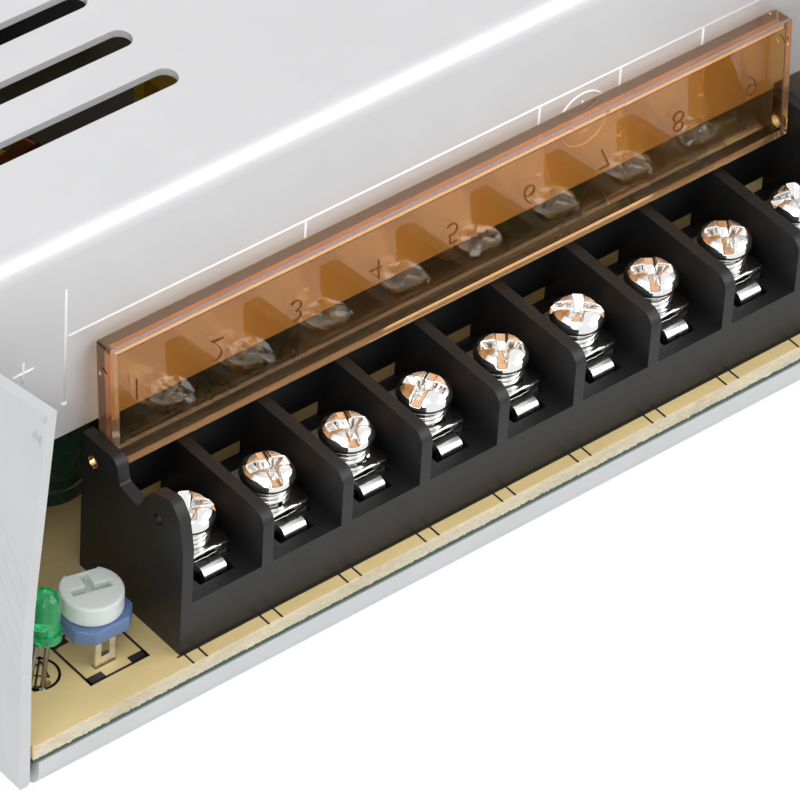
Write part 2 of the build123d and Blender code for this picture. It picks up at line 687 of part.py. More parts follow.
copper -= rod(transformer_x, transformer_y, coil_low, coil_high, tube_radius + wire_gap)
parts["transformer_core"] = ferrite
parts["transformer_bobbin"] = bobbin
parts["transformer_winding"] = copper

driver_x = right - 45.5
driver_y = end_face + 39.9
driver = box(driver_x - 8, driver_x + 8, driver_y - 7, driver_y + 7, board_top, board_top + 13)
driver = chamfer(driver.edges().filter_by(Axis.Z), 1.5)
driver -= box(driver_x - 9, driver_x - 5, driver_y - 4, driver_y + 4, board_top + 3, board_top + 10)
driver -= box(driver_x + 5, driver_x + 9, driver_y - 4, driver_y + 4, board_top + 3, board_top + 10)
parts["driver_transformer"] = driver

chip_x = 2.0
chip_y = end_face + 27.9
chip = box(chip_x - 10, chip_x + 10, chip_y - 3.2, chip_y + 3.2, board_top + 0.5, board_top + 3.8)
chip = chamfer(chip.edges().group_by(Axis.Z)[-1], 0.4)
chip -= rod(chip_x - 10, chip_y, board_top + 2.8, board_top + 5, 0.9)
for leg in range(8):
    x = chip_x + (leg - 3.5) * lead_pitch
    for side in (-1, 1):
        y = chip_y + side * 3.6
        inner_y = y - side * 0.8
        chip += box(x - 0.3, x + 0.3, min(y, inner_y), max(y, inner_y), board_top + 1.6, board_top + 2.0)
        chip += box(x - 0.3, x + 0.3, y - 0.15, y + 0.15, board_top, board_top + 2.0)
parts["control_chip"] = chip


# Mains side, behind the right of the block: fuse, surge limiter, filter and reservoir capacitors

fuse_x = right - 15.5
fuse_y = end_face + 8.0
fuse_level = board_top + 4.5
fuse_radius = 2.6
fuse = rod_x(fuse_x - 10, fuse_x + 10, fuse_y, fuse_level, fuse_radius)
fuse_clips = []
for x in (fuse_x - 7.5, fuse_x + 7.5):
    fuse_clips.append(box(x - 2.4, x + 2.4, fuse_y - 3.4, fuse_y + 3.4, board_top, fuse_level + 2.2)
                      - rod_x(x - 3, x + 3, fuse_y, fuse_level, fuse_radius + screw_hole_gap)
                      - box(x - 3, x + 3, fuse_y - 1.8, fuse_y + 1.8, fuse_level, fuse_level + 4))
parts["fuse"] = fuse
parts["fuse_clips"] = fuse_clips

limiter_x = right - 32.5
limiter_y = end_face + 9.0
limiter = Pos(limiter_x, limiter_y, board_top + 11.0) * Rot(90, 0, 0) * Cylinder(6.5, 4.0)
limiter = fillet(limiter.edges(), 1.2)
for offset in (-3.75, 3.75):
    limiter += rod(limiter_x + offset, limiter_y, board_top, board_top + 8.0, 0.4)
parts["surge_limiter"] = limiter

filter_cap_x = right - 26.5
filter_cap_y = end_face + 19.4
filter_cap = box(filter_cap_x - filter_cap_length / 2, filter_cap_x + filter_cap_length / 2,
                 filter_cap_y - filter_cap_depth / 2, filter_cap_y + filter_cap_depth / 2,
                 board_top, board_top + filter_cap_height)
filter_cap = fillet(filter_cap.edges().filter_by(Axis.Z), 1.0)
filter_cap = chamfer(filter_cap.edges().group_by(Axis.Z)[-1], 0.6)
parts["filter_capacitor"] = filter_cap

choke_x = right - 19.5
choke_y = end_face + 44.9
choke_core = box(choke_x - 13, choke_x + 13, choke_y - 4, choke_y + 4, board_top + 2, board_top + 28)
choke_core -= box(choke_x - 7, choke_x + 7, choke_y - 5, choke_y + 5, board_top + 8, board_top + 22)
choke_coils = []
for x in (choke_x - 10, choke_x + 10):
    drum = rod(x, choke_y, board_top + 9.2, board_top + 20.8, 6.6)
    drum += rod(x, choke_y, board_top + 8.2, board_top + 9.2, 7.4)
    drum += rod(x, choke_y, board_top + 20.8, board_top + 21.8, 7.4)
    hole = box(x - 3.2, x + 3.2, choke_y - 4.2, choke_y + 4.2, board_top, board_top + 30)
    choke_coils.append(drum - hole)
choke_foot = box(choke_x - 15, choke_x + 15, choke_y - 7, choke_y + 7, board_top, board_top + 2)
parts["filter_choke_core"] = choke_core
parts["filter_choke_coils"] = choke_coils
parts["filter_choke_foot"] = choke_foot

bridge_y = end_face + 71.9
bridge_body = box(wall_inside_right - 4.0, wall_inside_right, bridge_y - 12, bridge_y + 12,
                  board_top + 5, board_top + 22)
bridge_body = chamfer(bridge_body.edges().filter_by(Axis.X).group_by(Axis.Z)[-1][-1:], 3.0)
for leg in range(4):
    y = bridge_y - 9 + leg * 6
    bridge_body += box(wall_inside_right - 3.0, wall_inside_right - 2.2, y - 0.6, y + 0.6,
                       board_top, board_top + 6)
parts["bridge_rectifier"] = bridge_body

reservoirs = []
for y in (back - 55.5, back - 27.5):
    reservoirs.append(can(right - 21.5, y, capacitor_radius, capacitor_height))
parts["reservoir_capacitors"] = reservoirs

resistors = []
resistor_x = left + 29.5
resistor_z = board_top + 3.2
for row in range(resistor_count):
    y = back - 55.5 + row * resistor_pitch
    body = rod_x(resistor_x - resistor_length / 2, resistor_x + resistor_length / 2, y, resistor_z,
                 resistor_radius)
    body = fillet(body.edges(), 0.8)
    for side in (-1, 1):
        foot_x = resistor_x + side * (resistor_length / 2 + 2.5)
        inner_x = resistor_x + side * (resistor_length / 2 - 1.0)
        body += rod(foot_x, y, board_top, resistor_z + 0.3, 0.4)
        body += rod_x(foot_x, inner_x, y, resistor_z, 0.4)
    resistors.append(body)
parts["power_resistors"] = resistors

parts["circuit_board"] = board
parts["insulating_sheet"] = insulation
parts["board_spacers"] = spacers
parts["board_screws"] = board_screws

os.makedirs("parts", exist_ok=True)
for name, shape in parts.items():
    if isinstance(shape, (list, tuple)):
        shape = Compound(children=[Solid(item.solid().wrapped) for item in shape])
    export_step(shape, f"parts/{name}.step")
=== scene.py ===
import bpy
import bmesh
import json
import random
from math import cos, pi, radians, sin
from mathutils import Matrix, Vector


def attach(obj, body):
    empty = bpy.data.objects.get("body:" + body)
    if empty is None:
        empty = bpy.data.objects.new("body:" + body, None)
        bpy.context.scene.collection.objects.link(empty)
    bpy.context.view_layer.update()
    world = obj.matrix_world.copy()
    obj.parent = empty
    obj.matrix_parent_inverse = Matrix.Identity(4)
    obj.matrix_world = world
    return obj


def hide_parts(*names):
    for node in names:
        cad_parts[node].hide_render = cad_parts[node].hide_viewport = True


# Looks of the enclosed power supply. Metres; the millimetre values are the model's own.
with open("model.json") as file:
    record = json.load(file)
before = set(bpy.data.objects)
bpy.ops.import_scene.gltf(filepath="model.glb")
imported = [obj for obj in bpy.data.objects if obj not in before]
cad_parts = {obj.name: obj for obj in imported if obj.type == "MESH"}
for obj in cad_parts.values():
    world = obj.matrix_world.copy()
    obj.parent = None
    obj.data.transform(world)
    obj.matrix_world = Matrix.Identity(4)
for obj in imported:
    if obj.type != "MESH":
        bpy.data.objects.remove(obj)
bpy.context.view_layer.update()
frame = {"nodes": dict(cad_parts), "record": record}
nodes = frame["nodes"]
MM = 0.001

case_front = -107.5
block_front, block_left = -105.8, -37.1
board_bottom, board_top = 4.4, 6.0
pitch, terminals = 9.5, 9
end_face = -89.9
pin_y, pin_z = -92.2, 20.3
screw_y = -99.6
tab_top = 12.45
clamp_bottom = 13.05
head_bottom = 15.55
ledge_top = 12.0
block_back = -90.5
trimmer = (-43.9, -100.2)
lamp = (-50.45, -101.4)


def terminal_x(number):
    return block_left + (number - 0.5) * pitch


# Materials

# Scales of the broad noise and of the dirt, as shares of the fine noise's scale
broad_scale = 0.12
dirt_scale = 0.03
dirt_from, dirt_to = 0.56, 0.74


def node_material(name, color, rough, metallic=0.0, vary=0.06, scale=900.0, bump=0.05, depth=0.02,
                  stretch=(1, 1, 1), rough_vary=0.08, dirt=0.0, dirt_color=(0.1, 0.09, 0.08), spec=0.5,
                  grain=0.0):
    """Uneven colour, uneven gloss and fine relief, all from noise in the part's own space."""
    mat = bpy.data.materials.new(name)
    mat.use_nodes = True
    tree = mat.node_tree
    shader = tree.nodes["Principled BSDF"]
    shader.inputs["Metallic"].default_value = metallic
    shader.inputs["Specular IOR Level"].default_value = spec
    where = tree.nodes.new("ShaderNodeTexCoord")
    mapping = tree.nodes.new("ShaderNodeMapping")
    mapping.inputs["Scale"].default_value = stretch
    tree.links.new(where.outputs["Object"], mapping.inputs["Vector"])
    broad = tree.nodes.new("ShaderNodeTexNoise")
    broad.inputs["Scale"].default_value = scale * broad_scale
    broad.inputs["Detail"].default_value = 5
    fine = tree.nodes.new("ShaderNodeTexNoise")
    fine.inputs["Scale"].default_value = scale
    fine.inputs["Detail"].default_value = 4
    for texture in (broad, fine):
        tree.links.new(mapping.outputs["Vector"], texture.inputs["Vector"])
    ramp = tree.nodes.new("ShaderNodeValToRGB")
    ramp.color_ramp.elements[0].position = 0.3
    ramp.color_ramp.elements[1].position = 0.7
    ramp.color_ramp.elements[0].color = (*[c * (1 - vary) for c in color], 1)
    ramp.color_ramp.elements[1].color = (*[min(1, c * (1 + vary)) for c in color], 1)
    tree.links.new(broad.outputs["Fac"], ramp.inputs["Fac"])
    result = ramp.outputs["Color"]
    if grain:
        speck = tree.nodes.new("ShaderNodeMix")
        speck.data_type = "RGBA"
        speck.blend_type = "MULTIPLY"
        speck.inputs["Factor"].default_value = grain
        tree.links.new(result, speck.inputs["A"])
        tree.links.new(fine.outputs["Fac"], speck.inputs["B"])
        result = speck.outputs["Result"]
    if dirt:
        patch = tree.nodes.new("ShaderNodeTexNoise")
        patch.inputs["Scale"].default_value = scale * dirt_scale
        patch.inputs["Detail"].default_value = 8
        patch.inputs["Roughness"].default_value = 0.7
        tree.links.new(where.outputs["Object"], patch.inputs["Vector"])
        limit = tree.nodes.new("ShaderNodeMapRange")
        limit.inputs["From Min"].default_value = dirt_from
        limit.inputs["From Max"].default_value = dirt_to
        limit.inputs["To Max"].default_value = dirt
        tree.links.new(patch.outputs["Fac"], limit.inputs["Value"])
        soil = tree.nodes.new("ShaderNodeMix")
        soil.data_type = "RGBA"
        tree.links.new(limit.outputs["Result"], soil.inputs["Factor"])
        tree.links.new(result, soil.inputs["A"])
        soil.inputs["B"].default_value = (*dirt_color, 1)
        result = soil.outputs["Result"]
    tree.links.new(result, shader.inputs["Base Color"])
    gloss = tree.nodes.new("ShaderNodeMapRange")
    gloss.inputs["To Min"].default_value = max(0.02, rough - rough_vary)
    gloss.inputs["To Max"].default_value = min(1.0, rough + rough_vary)
    tree.links.new(fine.outputs["Fac"], gloss.inputs["Value"])
    tree.links.new(gloss.outputs["Result"], shader.inputs["Roughness"])
    relief = tree.nodes.new("ShaderNodeBump")
    relief.inputs["Strength"].default_value = bump
    relief.inputs["Distance"].default_value = depth * MM
    tree.links.new(fine.outputs["Fac"], relief.inputs["Height"])
    tree.links.new(relief.outputs["Normal"], shader.inputs["Normal"])
    return mat


def clear_material(name, color, rough, ior, scale=500.0, bump=0.04, weight=1.0):
    """A see-through moulding with slight waves in its surface."""
    mat = node_material(name, color, rough, vary=0.03, scale=scale, bump=bump, depth=0.05, rough_vary=0.02)
    shader = mat.node_tree.nodes["Principled BSDF"]
    shader.inputs["Transmission Weight"].default_value = weight
    shader.inputs["IOR"].default_value = ior
    return mat


patch_middle, patch_edge = 0.34, -0.3
patch_from, patch_to, patch_most = 0.62, 0.85, 0.75


def add_scuff(mat, spots, color, scale=1500.0):
    """Darker streaky patches round given places: (x, y, z, reach) in millimetres."""
    tree = mat.node_tree
    shader = tree.nodes["Principled BSDF"]
    source = shader.inputs["Base Color"].links[0].from_socket
    where = tree.nodes.new("ShaderNodeTexCoord")
    streaks = tree.nodes.new("ShaderNodeTexNoise")
    streaks.inputs["Scale"].default_value = scale
    streaks.inputs["Detail"].default_value = 6
    stretch = tree.nodes.new("ShaderNodeMapping")
    stretch.inputs["Scale"].default_value = (1, 1, 0.25)
    tree.links.new(where.outputs["Object"], stretch.inputs["Vector"])
    tree.links.new(stretch.outputs["Vector"], streaks.inputs["Vector"])
    for x, y, z, reach in spots:
        away = tree.nodes.new("ShaderNodeVectorMath")
        away.operation = "DISTANCE"
        away.inputs[1].default_value = (x * MM, y * MM, z * MM)
        tree.links.new(where.outputs["Object"], away.inputs[0])
        near = tree.nodes.new("ShaderNodeMapRange")
        near.inputs["From Min"].default_value = 0
        near.inputs["From Max"].default_value = reach * MM
        near.inputs["To Min"].default_value = patch_middle
        near.inputs["To Max"].default_value = patch_edge
        tree.links.new(away.outputs["Value"], near.inputs["Value"])
        total = tree.nodes.new("ShaderNodeMath")
        total.operation = "ADD"
        tree.links.new(near.outputs["Result"], total.inputs[0])
        tree.links.new(streaks.outputs["Fac"], total.inputs[1])
        limit = tree.nodes.new("ShaderNodeMapRange")
        limit.inputs["From Min"].default_value = patch_from
        limit.inputs["From Max"].default_value = patch_to
        limit.inputs["To Max"].default_value = patch_most
        tree.links.new(total.outputs["Value"], limit.inputs["Value"])
        mix = tree.nodes.new("ShaderNodeMix")
        mix.data_type = "RGBA"
        mix.inputs["B"].default_value = (*color, 1)
        tree.links.new(limit.outputs["Result"], mix.inputs["Factor"])
        tree.links.new(source, mix.inputs["A"])
        source = mix.outputs["Result"]
    tree.links.new(source, shader.inputs["Base Color"])


looks = {
    "cover_metal": node_material(
        "cover_sheet_metal", (0.68, 0.68, 0.69), 0.38, metallic=0.33, vary=0.018, scale=1400, bump=0.06,
        depth=0.02, rough_vary=0.06, dirt=0.10, dirt_color=(0.50, 0.50, 0.52)),
    "chassis_metal": node_material(
        "chassis_sheet_metal", (0.62, 0.63, 0.645), 0.40, metallic=0.30, vary=0.03, scale=1100, bump=0.08,
        depth=0.02, rough_vary=0.08, dirt=0.15, dirt_color=(0.45, 0.46, 0.48)),
    "black_moulding": node_material(
        "black_moulding", (0.009, 0.009, 0.0095), 0.42, vary=0.2, scale=2600, bump=0.22,
        depth=0.03, rough_vary=0.1, dirt=0.25, dirt_color=(0.03, 0.03, 0.031), spec=0.4),
    "bright_plating": node_material(
        "bright_plating", (0.84, 0.835, 0.82), 0.09, metallic=1.0, vary=0.04, scale=1500, bump=0.10,
        depth=0.03, rough_vary=0.05),
    "tin_plating": node_material(
        "tin_plating", (0.84, 0.84, 0.83), 0.3, metallic=1.0, vary=0.05, scale=1500, bump=0.12,
        depth=0.03, rough_vary=0.1),
    "amber_plastic": clear_material(
        "amber_plastic", (0.925, 0.565, 0.22), 0.03, 1.49, scale=260, bump=0.03, weight=0.99),
    "board_laminate": node_material(
        "board_laminate", (0.81, 0.63, 0.30), 0.5, vary=0.06, scale=2200, bump=0.1, depth=0.02,
        stretch=(0.35, 1, 1), grain=0.10),
    "white_plastic": node_material(
        "white_moulding", (0.72, 0.76, 0.74), 0.4, vary=0.03, scale=1800, bump=0.06),
    "blue_plastic": node_material(
        "blue_moulding", (0.115, 0.19, 0.36), 0.38, vary=0.08, scale=1800, bump=0.08),
    "green_lens": clear_material(
        "green_lens", (0.03, 0.74, 0.27), 0.05, 1.5, bump=0.02, weight=0.78),
    "clear_sheet": node_material(
        "insulating_sheet", (0.55, 0.58, 0.52), 0.25, vary=0.05, scale=500, bump=0.05),
    "dark_sleeve": node_material(
        "dark_green_sleeve", (0.012, 0.05, 0.035), 0.28, vary=0.1, scale=700, bump=0.04),
    "black_sleeve": node_material(
        "black_sleeve", (0.012, 0.012, 0.016), 0.28, vary=0.1, scale=700, bump=0.04),
    "ferrite": node_material(
        "ferrite", (0.028, 0.028, 0.031), 0.5, vary=0.15, scale=1800, bump=0.15, grain=0.3),
    "iron_powder": node_material(
        "powder_core", (0.60, 0.48, 0.06), 0.45, vary=0.06, scale=1500, bump=0.12),
    "copper_wire": node_material(
        "enamelled_copper", (0.42, 0.115, 0.045), 0.24, metallic=0.75, vary=0.12, scale=1500, bump=0.06),
    "steel_screws": node_material(
        "zinc_plating", (0.70, 0.70, 0.69), 0.26, metallic=1.0, vary=0.06, scale=1500, bump=0.1),
    "yellow_case": node_material(
        "yellow_case", (0.72, 0.44, 0.04), 0.35, vary=0.05, scale=1500, bump=0.06),
    "green_ceramic": node_material(
        "coated_disc", (0.03, 0.13, 0.05), 0.4, vary=0.1, scale=1500, bump=0.1),
    "glass_tube": clear_material(
        "glass_tube", (0.92, 0.95, 0.93), 0.04, 1.5, weight=0.85),
    "grey_body": node_material(
        "cement_body", (0.30, 0.29, 0.26), 0.7, vary=0.1, scale=1500, bump=0.25, grain=0.3),
}
knocked_corner = [(-56.0, -106.5, 43.0, 2.6), (-55.5, -107.0, 45.5, 2.0), (-57.5, -94.0, 36.0, 1.6)]
add_scuff(looks["chassis_metal"], knocked_corner, (0.22, 0.22, 0.23))


# Colour of the painted shade on the board inside the case, where the parts crowd it
inside_painted_shade = (0.03, 0.022, 0.012)


def darken_inside(mat, start, end, amount):
    """Makes the colour darker from one distance behind the front to another, given as Y."""
    tree = mat.node_tree
    shader = tree.nodes["Principled BSDF"]
    source = shader.inputs["Base Color"].links[0].from_socket
    where = tree.nodes.new("ShaderNodeTexCoord")
    split = tree.nodes.new("ShaderNodeSeparateXYZ")
    tree.links.new(where.outputs["Object"], split.inputs["Vector"])
    limit = tree.nodes.new("ShaderNodeMapRange")
    limit.inputs["From Min"].default_value = start * MM
    limit.inputs["From Max"].default_value = end * MM
    limit.inputs["To Max"].default_value = amount
    tree.links.new(split.outputs["Y"], limit.inputs["Value"])
    mix = tree.nodes.new("ShaderNodeMix")
    mix.data_type = "RGBA"
    mix.inputs["B"].default_value = (*inside_painted_shade, 1)
    tree.links.new(limit.outputs["Result"], mix.inputs["Factor"])
    tree.links.new(source, mix.inputs["A"])
    tree.links.new(mix.outputs["Result"], shader.inputs["Base Color"])


# The board turns dark from Y = -86 to -76 mm: painted shade inside the case
darken_inside(looks["board_laminate"], -86, -76, 0.9)
ink = node_material("black_ink", (0.018, 0.017, 0.015), 0.55, vary=0.1, scale=3000, bump=0.1)
solder = node_material("solder", (0.62, 0.62, 0.60), 0.24, metallic=1.0, vary=0.08, scale=1800, bump=0.12)
lead_metal = node_material("lead_wire", (0.26, 0.235, 0.22), 0.3, metallic=1.0, vary=0.15, scale=1800,
                           bump=0.1)
# Dark brown for the flap's moulded digits: painted shade at their edges
digit_painted_shade = node_material("digit_shade", (0.20, 0.055, 0.012), 0.4, vary=0.15, scale=1800, bump=0.05)
# A paler copy of the cover metal for the legend's raised lines: painted highlight
ridge_painted_highlight = node_material("raised_line_painted_highlight", (0.93, 0.93, 0.94), 0.3, metallic=0.3, vary=0.02, scale=400,
                            bump=0.0, rough_vary=0.0)
# A lighter, less clear copy of the amber for the flap's rim faces: painted light
rim_amber_painted_light = clear_material("amber_rim_painted_light", (0.95, 0.50, 0.25), 0.06, 1.49, scale=260, bump=0.03, weight=0.84)
# Dull mauve for the flap's chamfer: a painted highlight
glint_amber = node_material("amber_edge_glint", (0.26, 0.18, 0.17), 0.28, vary=0.08, scale=700, bump=0.03)
green_mask = node_material("green_lacquer", (0.012, 0.062, 0.034), 0.32, vary=0.12, scale=900, bump=0.08)
pale_edge = node_material("cut_board_edge", (0.80, 0.71, 0.52), 0.8, vary=0.12, scale=2600, bump=0.6,
                          depth=0.12, grain=0.35, stretch=(0.5, 1, 1.5), dirt=0.6,
                          dirt_color=(0.42, 0.27, 0.12))

slot_of = {entry["node"]: entry["material_slot"] for entry in frame["record"]["subparts"]}
for name, obj in nodes.items():
    look = looks[slot_of[name]]
    if not obj.material_slots:
        obj.data.materials.append(look)
    for held in obj.material_slots:
        held.material = look


# Mesh helpers, all in millimetres

def add_piece(name, bm, look, body, smooth=True, sharp=35):
    """Turns the mesh into a piece in metres, with a look, a body to ride on and a material slot."""
    mesh = bpy.data.meshes.new(name)
    bmesh.ops.scale(bm, vec=(MM, MM, MM), verts=bm.verts)
    bmesh.ops.recalc_face_normals(bm, faces=bm.faces)
    for face in bm.faces:
        face.smooth = smooth
    if smooth:
        for edge in bm.edges:
            if len(edge.link_faces) == 2 and edge.calc_face_angle(0) > radians(sharp):
                edge.smooth = False
    bm.to_mesh(mesh)
    bm.free()
    mesh.materials.append(look)
    obj = bpy.data.objects.new(name, mesh)
    bpy.context.scene.collection.objects.link(obj)
    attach(obj, body)
    return obj


def add_box(bm, x0, x1, y0, y1, z0, z1):
    """A block from its lowest corner to its highest."""
    made = bmesh.ops.create_cube(bm, size=1)
    middle = Matrix.Translation(((x0 + x1) / 2, (y0 + y1) / 2, (z0 + z1) / 2))
    place = middle @ Matrix.Diagonal((x1 - x0, y1 - y0, z1 - z0, 1))
    bmesh.ops.transform(bm, matrix=place, verts=made["verts"])
    return made["verts"]


def add_lathe(bm, x, y, outline, steps=48):
    """Turns an outline of (radius, height) about an upright axis."""
    rings = []
    for radius, height in outline:
        if radius < 1e-6:
            rings.append([bm.verts.new((x, y, height))])
        else:
            ring = []
            for k in range(steps):
                angle = 2 * pi * k / steps
                ring.append(bm.verts.new((x + radius * cos(angle), y + radius * sin(angle), height)))
            rings.append(ring)
    for low, high in zip(rings, rings[1:]):
        for k in range(steps):
            following = (k + 1) % steps
            if len(low) == 1 and len(high) > 1:
                bm.faces.new((low[0], high[following], high[k]))
            elif len(high) == 1 and len(low) > 1:
                bm.faces.new((low[k], low[following], high[0]))
            elif len(low) > 1:
                bm.faces.new((low[k], low[following], high[following], high[k]))
    return rings


def add_tube(bm, points, radius, closed=False, steps=8, flat=1.0):
    """A round wire along points; flat squeezes it in Z."""
    rings = []
    count = len(points)
    for k, point in enumerate(points):
        here = Vector(point)
        before = Vector(points[(k - 1) % count]) if closed or k else here
        after = Vector(points[(k + 1) % count]) if closed or k < count - 1 else here
        along = (after - before).normalized()
        side = along.cross(Vector((0, 0, 1)))
        side = side.normalized() if side.length > 1e-4 else Vector((1, 0, 0))
        up = side.cross(along).normalized()
        ring = []
        for s in range(steps):
            angle = 2 * pi * s / steps
            ring.append(bm.verts.new(here + side * radius * cos(angle) + up * radius * flat * sin(angle)))
        rings.append(ring)
    pairs = list(zip(rings, rings[1:]))
    if closed:
        pairs.append((rings[-1], rings[0]))
    for low, high in pairs:
        for s in range(steps):
            bm.faces.new((low[s], low[(s + 1) % steps], high[(s + 1) % steps], high[s]))
    if not closed:
        bm.faces.new(rings[0])
        bm.faces.new(list(reversed(rings[-1])))
    return rings


def bake_modifiers(obj):
    """Makes the shape that the modifiers give the working piece's own."""
    bpy.context.view_layer.update()
    done = bpy.data.meshes.new_from_object(obj.evaluated_get(bpy.context.evaluated_depsgraph_get()))
    obj.modifiers.clear()
    obj.data = done


def cut(obj, cutter):
    """Takes the cutter's shape out of the piece and removes the cutter."""
    change = obj.modifiers.new("cut", "BOOLEAN")
    change.operation = "DIFFERENCE"
    change.solver = "EXACT"
    change.object = cutter
    bake_modifiers(obj)
    bpy.data.objects.remove(cutter)


def loose(name, bm):
    """A working piece that is not shown."""
    mesh = bpy.data.meshes.new(name)
    bmesh.ops.recalc_face_normals(bm, faces=bm.faces)
    bm.to_mesh(mesh)
    bm.free()
    obj = bpy.data.objects.new(name, mesh)
    bpy.context.scene.collection.objects.link(obj)
    return obj


def cad_copy(name):
    """The CAD part's mesh in millimetres, as a working piece."""
    bm = bmesh.new()
    bm.from_mesh(nodes[name].data)
    bmesh.ops.transform(bm, matrix=Matrix.Scale(1 / MM, 4) @ nodes[name].matrix_world, verts=bm.verts)
    bmesh.ops.remove_doubles(bm, verts=bm.verts, dist=1e-3)
    return loose(name + "_copy", bm)


def cut_box(obj, *sides):
    """Takes a block, given as for add_box, out of the working piece."""
    bm = bmesh.new()
    add_box(bm, *sides)
    cut(obj, loose("box_cutter", bm))


def taken(obj):
    """The working piece's shape, and the piece itself removed."""
    bm = bmesh.new()
    bm.from_mesh(obj.data)
    bpy.data.objects.remove(obj)
    return bm


def soften(obj, size, passes):
    """Rounds every edge a little, as plating does."""
    remesh = obj.modifiers.new("remesh", "REMESH")
    remesh.mode = "VOXEL"
    remesh.voxel_size = size
    even = obj.modifiers.new("even", "SMOOTH")
    even.factor = 0.5
    even.iterations = passes
    bake_modifiers(obj)


# Terminal screws: bulging heads with a deep tapered cross and a wide slot across them, on threaded shanks
head_outline = [(0, 0), (2.1, 0), (2.5, 0.14), (2.7, 0.45), (2.75, 0.85), (2.66, 1.25), (2.4, 1.62),
                (1.95, 1.9), (1.3, 2.05)]
head_height = 2.1
head_flat = 0.6
cross_half_length, cross_half_width, cross_depth = 2.3, 0.62, 1.65
cross_taper = (0.42, 0.45)
slot_half_width, slot_depth = 0.56, 0.95
shank_radius, shank_tip, shank_length = 1.45, 1.05, 7.9
thread_pitch, thread_radius, thread_ridge = 0.5, 1.43, 0.09
thread_turns, turn_steps = 14, 24
screw_turns = (62, -16, -21, -60, -38, 48, -32, -33, 70)


def screw_mesh():
    """One screw on the Z axis, at its resting height."""
    top = head_bottom + head_height
    bm = bmesh.new()
    outline = [(radius, head_bottom + rise) for radius, rise in head_outline] + [(head_flat, top), (0, top)]
    add_lathe(bm, 0, 0, outline, 56)
    head = loose("screw_head", bm)
    for angle in (0, 90):
        bm = bmesh.new()
        verts = add_box(bm, -cross_half_length, cross_half_length, -cross_half_width, cross_half_width,
                        top - cross_depth, top + 0.1)
        for vert in verts:
            if vert.co.z < top - 1:
                vert.co.x *= cross_taper[0]
                vert.co.y *= cross_taper[1]
        bmesh.ops.rotate(bm, verts=verts, matrix=Matrix.Rotation(radians(angle), 3, "Z"))
        cut(head, loose("cross_cutter", bm))
    cut_box(head, -slot_half_width, slot_half_width, -3.4, 3.4, top - slot_depth, top + 0.3)
    soften(head, 0.075, 2)
    bm = taken(head)
    shank = [(0, head_bottom - shank_length), (shank_tip, head_bottom - shank_length),
             (shank_radius, head_bottom - 7.5), (shank_radius, head_bottom + 0.1), (0, head_bottom + 0.1)]
    add_lathe(bm, 0, 0, shank, 32)
    turns = []
    for k in range(0, turn_steps * thread_turns):
        angle = 2 * pi * k / turn_steps
        height = head_bottom - 7.3 + thread_pitch * k / turn_steps
        if height < head_bottom - 0.1:
            turns.append((thread_radius * cos(angle), thread_radius * sin(angle), height))
    add_tube(bm, turns, thread_ridge, steps=5, flat=1.3)
    return bm


master = screw_mesh()
for number in range(1, terminals + 1):
    bm = master.copy()
    turn = Matrix.Rotation(radians(screw_turns[number - 1]), 3, "Z")
    bmesh.ops.rotate(bm, verts=bm.verts, matrix=turn)
    bmesh.ops.translate(bm, verts=bm.verts, vec=(terminal_x(number), screw_y, 0))
    piece = add_piece(f"screw_look_{number}", bm, looks["bright_plating"], f"screw_{number}",
                      sharp=80)
    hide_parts(f"terminal_screw_{number}")
master.free()

# Washers: an arched square plate, and above it a spring washer of about two turns with open gaps
plate_side, plate_thickness, plate_cells = 6.2, 0.5, 24
plate_corner_pull = 0.11
arch_across, arch_along, underside_share = 0.42, 0.10, 0.25
coil_radius, coil_wire, coil_flat = 1.98, 0.36, 0.62
coil_low, coil_rise, coil_steps, coil_turn_steps = 0.95, 1.3, 76, 34


def plate_mesh(x):
    """The arched square washer of one terminal: two curved sheets joined round their rim."""
    bm = bmesh.new()
    grid = []
    for top in (0, 1):
        sheet = []
        for i in range(plate_cells + 1):
            row = []
            for j in range(plate_cells + 1):
                u = -1 + 2 * i / plate_cells
                v = -1 + 2 * j / plate_cells
                squeeze = 1 - plate_corner_pull * (abs(u) ** 5) * (abs(v) ** 5)
                lift = arch_across * (1 - u * u) + arch_along * v * v
                height = clamp_bottom + 0.02 + lift * (underside_share if top == 0 else 1)
                row.append(bm.verts.new((x + u * plate_side / 2 * squeeze,
                                         screw_y + v * plate_side / 2 * squeeze,
                                         height + plate_thickness * top)))
            sheet.append(row)
        grid.append(sheet)
    for top in (0, 1):
        for i in range(plate_cells):
            for j in range(plate_cells):
                bm.faces.new((grid[top][i][j], grid[top][i + 1][j], grid[top][i + 1][j + 1],
                              grid[top][i][j + 1]))
    rim = [(i, 0) for i in range(plate_cells)]
    rim += [(plate_cells, j) for j in range(plate_cells)]
    rim += [(i, plate_cells) for i in range(plate_cells, 0, -1)]
    rim += [(0, j) for j in range(plate_cells, 0, -1)]
    for here, after in zip(rim, rim[1:] + rim[:1]):
        bm.faces.new((grid[0][here[0]][here[1]], grid[0][after[0]][after[1]], grid[1][after[0]][after[1]],
                      grid[1][here[0]][here[1]]))
    return bm


for number in range(1, terminals + 1):
    x = terminal_x(number)
    plate = loose("plate", plate_mesh(x))
    soften(plate, 0.1, 3)
    bm = taken(plate)
    coil = []
    for k in range(coil_steps + 1):
        angle = radians(200 + 37 * number) + 2 * pi * k / coil_turn_steps
        coil.append((x + coil_radius * cos(angle), screw_y + coil_radius * sin(angle),
                     clamp_bottom + coil_low + coil_rise * k / coil_steps))
    add_tube(bm, coil, coil_wire, steps=12, flat=coil_flat)
    piece = add_piece(f"washer_look_{number}", bm, looks["bright_plating"], f"washers_{number}",
                      sharp=70)
    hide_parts(f"clamp_washers_{number}")

